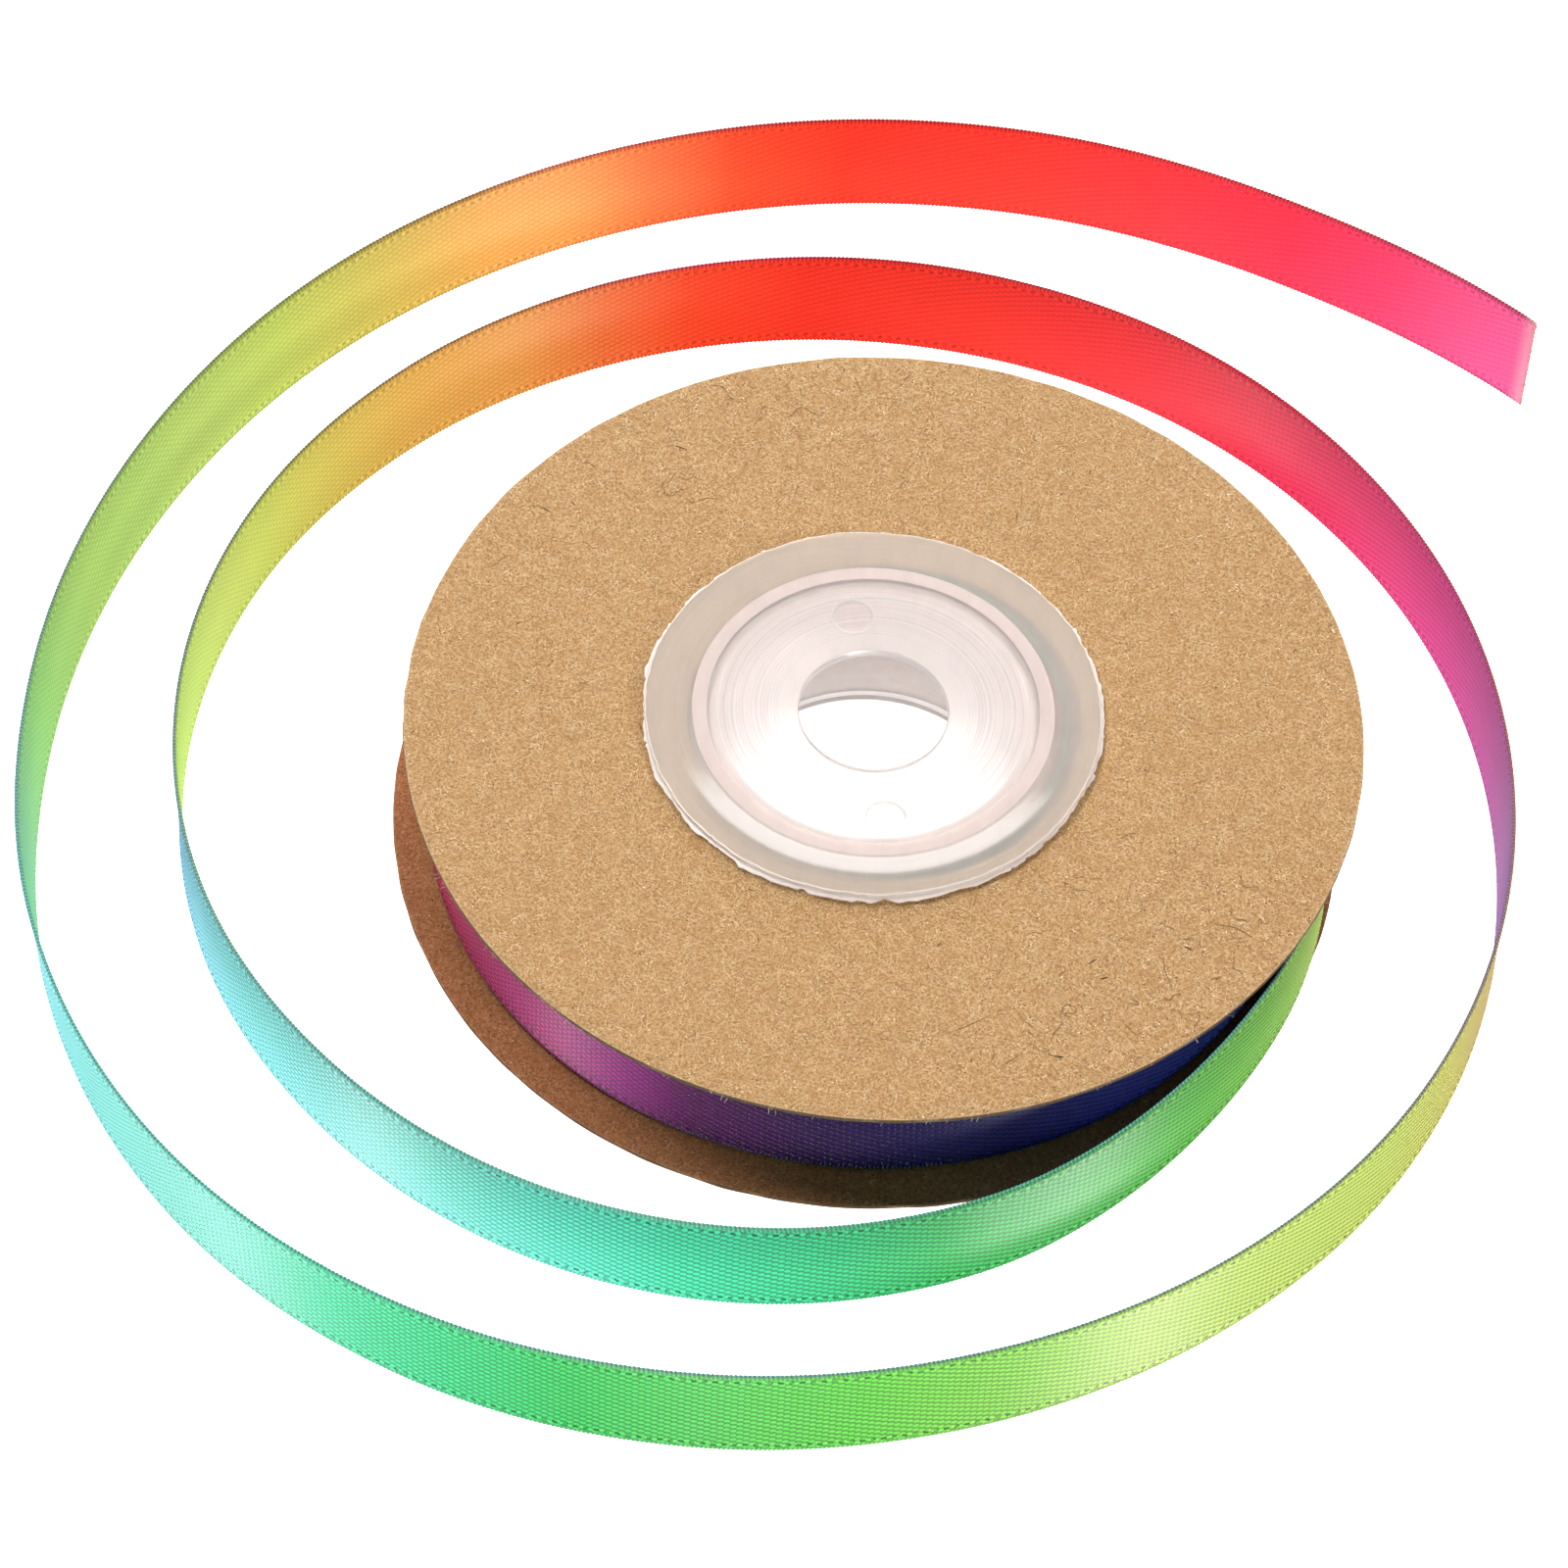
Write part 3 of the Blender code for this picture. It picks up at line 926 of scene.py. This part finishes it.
def cut_end_threads(name, material):
    """Short ends of thread along the ribbon's cut."""
    rng = np.random.default_rng(11)
    before, end = (np.append(polar(ROUTE_RADIUS[k], ROUTE_ANGLE[k]), 0.0) for k in (CUT_STATION, -1))
    forward = (end - before) / np.linalg.norm(end - before)
    routes, radii = [], []
    for height in np.linspace(CUT_MARGIN, RIBBON_WIDTH - CUT_MARGIN, CUT_THREADS):
        length = rng.uniform(0.12, 0.5) * MM
        droop = rng.uniform(-0.12, 0.12) * MM
        share = np.linspace(0, 1, 5)[:, None]
        start = end - forward * CUT_SUNK + np.array((0, 0, height))
        start = start + rng.uniform(-0.05, 0.05, 3) * MM
        routes.append(start + forward * (length + CUT_SUNK) * share + np.array((0, 0, droop)) * share ** 2)
        radii.append(rng.uniform(0.02, 0.05) * MM)
    return tubes(name, routes, radii, [material], [0] * len(routes))


# ---------------- cards

CARD_CORNER = 0.12 * MM
CARD_STEP = 1.5 * MM            # along the outline
CARD_STEPS = 480                # round the card
CARD_WAVE = 0.05 * MM
CARD_RIM_WEAR = 0.035 * MM
FIBRE_KINDS = (                 # how many, shortest and longest (mm), radius (mm), bend, material
    (90, 1.4, 4.0, 0.025, 2.2, 0),
    (110, 0.5, 1.6, 0.027, 0.8, 0),
    (22, 0.4, 1.0, 0.045, 0.3, 1),
    (150, 0.4, 1.8, 0.022, 1.0, 2),
)
FIBRE_LIFT = 0.004 * MM         # a lying fibre's middle is this far above the card
RIM_FIBRES = 150                # on each card
RIM_FIBRE_RADIUS = 0.018 * MM
RIM_FIBRE_SUNK = 0.08 * MM
RIM_FIBRE_SLOT = 2


def card(name, node, material, seed):
    """A die-cut card disc: soft edges, a hair of waviness."""
    low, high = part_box(node)
    outline = rounded(((CARD_RADIUS, high.z), (CARD_RADIUS, low.z), (CARD_HOLE_RADIUS, low.z),
                       (CARD_HOLE_RADIUS, high.z)), CARD_CORNER)
    rng = np.random.default_rng(seed)

    def warp(radius, height, angle):
        outer = np.clip((radius - CARD_HOLE_RADIUS) / (CARD_RADIUS - CARD_HOLE_RADIUS), 0, 1)
        swing = np.cos(2 * angle + rng.uniform(0, TURN)) + 0.5 * np.cos(3 * angle + rng.uniform(0, TURN))
        height = height + CARD_WAVE * swing * outer ** 2
        radius = radius + CARD_RIM_WEAR * ragged(angle, rng, waves=60, slowest=9) * (outer > 0.98)
        return radius, height

    return lathe(name, finely(outline, CARD_STEP), CARD_STEPS, [material], middle_of(node)[:2], warp)


def lying_fibre(rng, centre, height, length, bend, points=12):
    """A curved fibre lying flat at centre."""
    share = np.linspace(-0.5, 0.5, points)
    heading = rng.uniform(0, TURN) + bend * share + 0.6 * bend * np.sin(share * 9 + rng.uniform(0, TURN))
    level = centre + np.cumsum(polar(1.0, heading), axis=0) * (length / (points - 1))
    return np.column_stack([level, np.full(points, height)])


def rim_fibre(rng, middle, top):
    """A short fibre that stands off the card's cut rim."""
    out = np.append(polar(1.0, rng.uniform(0, TURN)), 0.0)
    tip = out + rng.uniform(-0.9, 0.9, 3) * (1, 1, 0.5)
    start = np.append(middle[:2], top - rng.uniform(0.05, 0.35) * MM)
    start = start + out * (CARD_RADIUS - RIM_FIBRE_SUNK)
    share = np.linspace(0, 1, 5)[:, None]
    return start + tip * rng.uniform(0.12, 0.42) * MM * share


def card_fibres(name, node, materials, seed):
    """Loose fibres pressed into the card's upper face and standing off its cut rim."""
    rng = np.random.default_rng(seed)
    middle = middle_of(node)
    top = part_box(node)[1].z
    innermost, outermost = CARD_HOLE_RADIUS + 3 * MM, CARD_RADIUS - 2 * MM
    routes, radii, slots = [], [], []
    for count, shortest, longest, thickness, bend, slot in FIBRE_KINDS:
        for _ in range(count):
            distance = rng.uniform(innermost ** 2, outermost ** 2) ** 0.5
            centre = middle[:2] + polar(distance, rng.uniform(0, TURN))
            length = rng.uniform(shortest, longest) * MM
            turn = rng.uniform(-bend, bend)
            routes.append(lying_fibre(rng, centre, top + FIBRE_LIFT, length, turn))
            radii.append(thickness * MM)
            slots.append(slot)
    for _ in range(RIM_FIBRES):
        routes.append(rim_fibre(rng, middle, top))
        radii.append(RIM_FIBRE_RADIUS)
        slots.append(RIM_FIBRE_SLOT)
    return tubes(name, routes, radii, materials, slots)


# ---------------- hub

# The hub's materials by number: web, sleeve, torn rim, the web's rim over the sleeve, and flange.
CLEAR, WALL, MILKY, RING, FLANGE = 0, 1, 2, 3, 4

HUB_CORNER = 0.1 * MM
HUB_STEP = 1.0 * MM             # along the outlines
CAP_STEPS = 720                 # round the cap
BASE_STEPS = 400
FLASH_LIFT = 0.02 * MM          # the torn flash round the upper flange, above its lower face
FLASH_HEIGHT = 0.14 * MM
FLASH_WIDTH = 0.12 * MM
TOP_FROM = CENTRE_HOLE_RADIUS + 0.2 * MM
TOP_TO = 13.6 * MM
TOP_STEP = 0.12 * MM            # the cap's top has rings this close there, for its pin marks
FLANGE_RING = 15.2 * MM
FLANGE_PLAIN = 16.5 * MM        # outside this radius the outline keeps its own points
ON_TOP = 1e-7                   # metres; nearer than this to the hub's top is on it


def hub_cap(name, materials):
    """Flange, web and sleeve in one; the flange's rim is torn where it was trimmed."""
    flange_bottom = HUB_TOP - FLANGE_THICKNESS
    web_bottom = HUB_TOP - WEB_THICKNESS
    sleeve_inner = CAP_SLEEVE_RADIUS - CAP_SLEEVE_WALL
    flash_bottom = flange_bottom + FLASH_LIFT
    flash_top = flash_bottom + FLASH_HEIGHT
    flash_inner = FLANGE_RADIUS - FLASH_WIDTH
    outline = rounded((
        (FLANGE_RADIUS - 0.1 * MM, HUB_TOP),
        (flash_inner, flash_top),
        (FLANGE_RADIUS, flash_top - 0.03 * MM),
        (FLANGE_RADIUS, flash_bottom),
        (CAP_SLEEVE_RADIUS, flange_bottom),
        (CAP_SLEEVE_RADIUS, SLEEVE_BOTTOM),
        (sleeve_inner, SLEEVE_BOTTOM),
        (sleeve_inner, web_bottom),
        (CENTRE_HOLE_RADIUS, web_bottom),
        (CENTRE_HOLE_RADIUS, HUB_TOP),
    ), HUB_CORNER, steps=3)
    # The top's own points are replaced with close rings.
    outline = [stop for stop in finely(outline, HUB_STEP)
               if stop.y <= HUB_TOP - ON_TOP or not CENTRE_HOLE_RADIUS + 0.12 * MM < stop.x < FLANGE_PLAIN]
    outline += [Vector((radius, HUB_TOP)) for radius in np.arange(TOP_FROM, TOP_TO, TOP_STEP)]
    outline.append(Vector((FLANGE_RING, HUB_TOP)))
    rng = np.random.default_rng(23)

    def tear(radius, height, angle):
        rim = (radius > FLANGE_RADIUS - 0.35 * MM) & (height > flash_bottom + 0.13 * MM)
        lip = (radius > flash_inner) & ~rim
        slow = ragged(angle, rng, waves=8)
        fine = chipped(angle, rng, 260)
        torn = chipped(angle, rng, 110)
        radius = radius + rim * (0.05 * slow + 0.07 * fine) * MM
        radius = radius + lip * (0.12 + 0.05 * slow + 0.17 * torn + 0.08 * chipped(angle, rng, 330)) * MM
        height = height + lip * 0.04 * MM * chipped(angle, rng, 200)
        top = height > HUB_TOP - ON_TOP
        for x, y in PIN_MARKS:
            away = np.hypot(radius * np.cos(angle) - x, radius * np.sin(angle) - y)
            inside = np.clip((PIN_MARK_RADIUS - away) / (0.15 * MM), 0, 1)
            raised = np.exp(-((away - PIN_MARK_RADIUS - 0.05 * MM) / (0.1 * MM)) ** 2)
            height = height - top * (PIN_MARK_DEPTH * inside - 0.03 * MM * raised)
        return radius, height

    def pick(radius, height):
        if height < web_bottom - 0.1 * MM:
            return WALL
        if sleeve_inner < radius < CAP_SLEEVE_RADIUS:
            return RING
        if radius > FLANGE_RADIUS - 0.2 * MM:
            return MILKY
        return FLANGE if radius > CAP_SLEEVE_RADIUS else CLEAR

    return lathe(name, outline, CAP_STEPS, materials, reshape=tear, pick=pick)


def hub_base(name, materials):
    """Lower flange with its inward lip, and the inner sleeve."""
    inner = BASE_SLEEVE_RADIUS - BASE_SLEEVE_WALL
    outline = rounded((
        (BASE_SLEEVE_RADIUS, BASE_SLEEVE_TOP),
        (BASE_SLEEVE_RADIUS, FLANGE_THICKNESS),
        (FLANGE_RADIUS, FLANGE_THICKNESS),
        (FLANGE_RADIUS, 0.0),
        (LIP_RADIUS, 0.0),
        (LIP_RADIUS, FLANGE_THICKNESS),
        (inner, FLANGE_THICKNESS),
        (inner, BASE_SLEEVE_TOP),
    ), HUB_CORNER, steps=3)
    rng = np.random.default_rng(31)

    def tear(radius, height, angle):
        rim = radius > FLANGE_RADIUS - 0.2 * MM
        wear = 0.06 * ragged(angle, rng, waves=12) + 0.05 * ragged(angle, rng, waves=110, slowest=20)
        return radius + rim * wear * MM, height

    def pick(radius, height):
        return WALL if height > FLANGE_THICKNESS + 0.1 * MM else CLEAR

    return lathe(name, finely(outline, HUB_STEP), BASE_STEPS, materials, reshape=tear, pick=pick)


# ---------------- the model

def attach(piece, body, slot, *nodes):
    """Lets a piece ride on a body and take the place of the frame's nodes."""
    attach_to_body(piece, body)
    if nodes:
        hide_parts(*nodes)


def add_ribbon():
    outer = make_satin("satin_outer", OUTER_PRINT, INNER_PRINT, roughness=0.44, shine=0.5, relief=0.06,
                       weave_shading=0.6)
    inner = make_satin("satin_inner", INNER_PRINT, OUTER_PRINT, roughness=0.56, shine=0.15, relief=0.02,
                       weave_shading=0.2, painted_end_light=0.28)
    wound = make_satin("satin_wound", OUTER_PRINT, INNER_PRINT, roughness=0.36, shine=0.36, relief=0.13,
                       weave_shading=0.8)
    thread = make_fibre("thread_pale", (250, 180, 190), roughness=0.6)

    tail = ribbon_strip("ribbon_loose", 0.0, TAIL_LENGTH, [outer, inner])
    attach(tail, "tail", "satin_loose", "ribbon_tail")
    threads = cut_end_threads("ribbon_cut_threads", thread)
    attach(threads, "tail", "satin_loose")

    wrap = ribbon_strip("ribbon_last_wrap", WRAP_START, 0.0, [wound, inner])
    attach(wrap, "tail", "satin_wound")
    winding = wound_ribbon("ribbon_wound", [wound, inner])
    attach(winding, "core", "satin_wound", "ribbon_winding")

    for piece in (tail, wrap, winding):
        satin_group().objects.link(piece)


def add_cards():
    fibres = [make_fibre("fibre_brown", (150, 108, 62)), make_fibre("fibre_dark", (90, 62, 38)),
              make_fibre("fibre_pale", (222, 196, 160))]
    shadow = (0.72, 0.48, 0.44, 1.0)
    for side, tint, seed in (("upper", WHITE, 5), ("lower", shadow, 8)):
        kraft = make_kraft(f"kraft_{side}", tint, f"disc_{side}")
        disc = card(f"card_{side}", f"disc_{side}", kraft, seed)
        attach(disc, f"{side}_card", "kraft_card", f"disc_{side}")
        loose = card_fibres(f"card_{side}_fibres", f"disc_{side}", fibres, seed + 40)
        attach(loose, f"{side}_card", "kraft_card")


def add_hub():
    clear = make_plastic("plastic_clear", (0.94, 0.875, 0.845, 1.0), clearness=0.89, marks=0.9)
    wall = make_plastic("plastic_wall", (1.0, 0.94, 0.91, 1.0), clearness=0.0, glow_through=0.4)
    flange = make_plastic("plastic_flange", (0.94, 0.87, 0.765, 1.0), clearness=0.89, marks=0.22,
                          marked=FLANGE_MARKED, painted_foot_light=0.8)
    milky = make_plastic("plastic_milky", (1.0, 0.92, 0.88, 1.0), clearness=0.5)
    ring = make_plastic("plastic_ring", (0.64, 0.52, 0.475, 1.0), clearness=0.42)
    attach(hub_cap("hub_cap_clear", [clear, wall, milky, ring, flange]), "core", "clear_plastic", "hub_cap")
    attach(hub_base("hub_base_clear", [clear, wall]), "core", "clear_plastic", "hub_base")


add_camera()
add_lights()
add_floor()
add_ribbon()
add_cards()
add_hub()
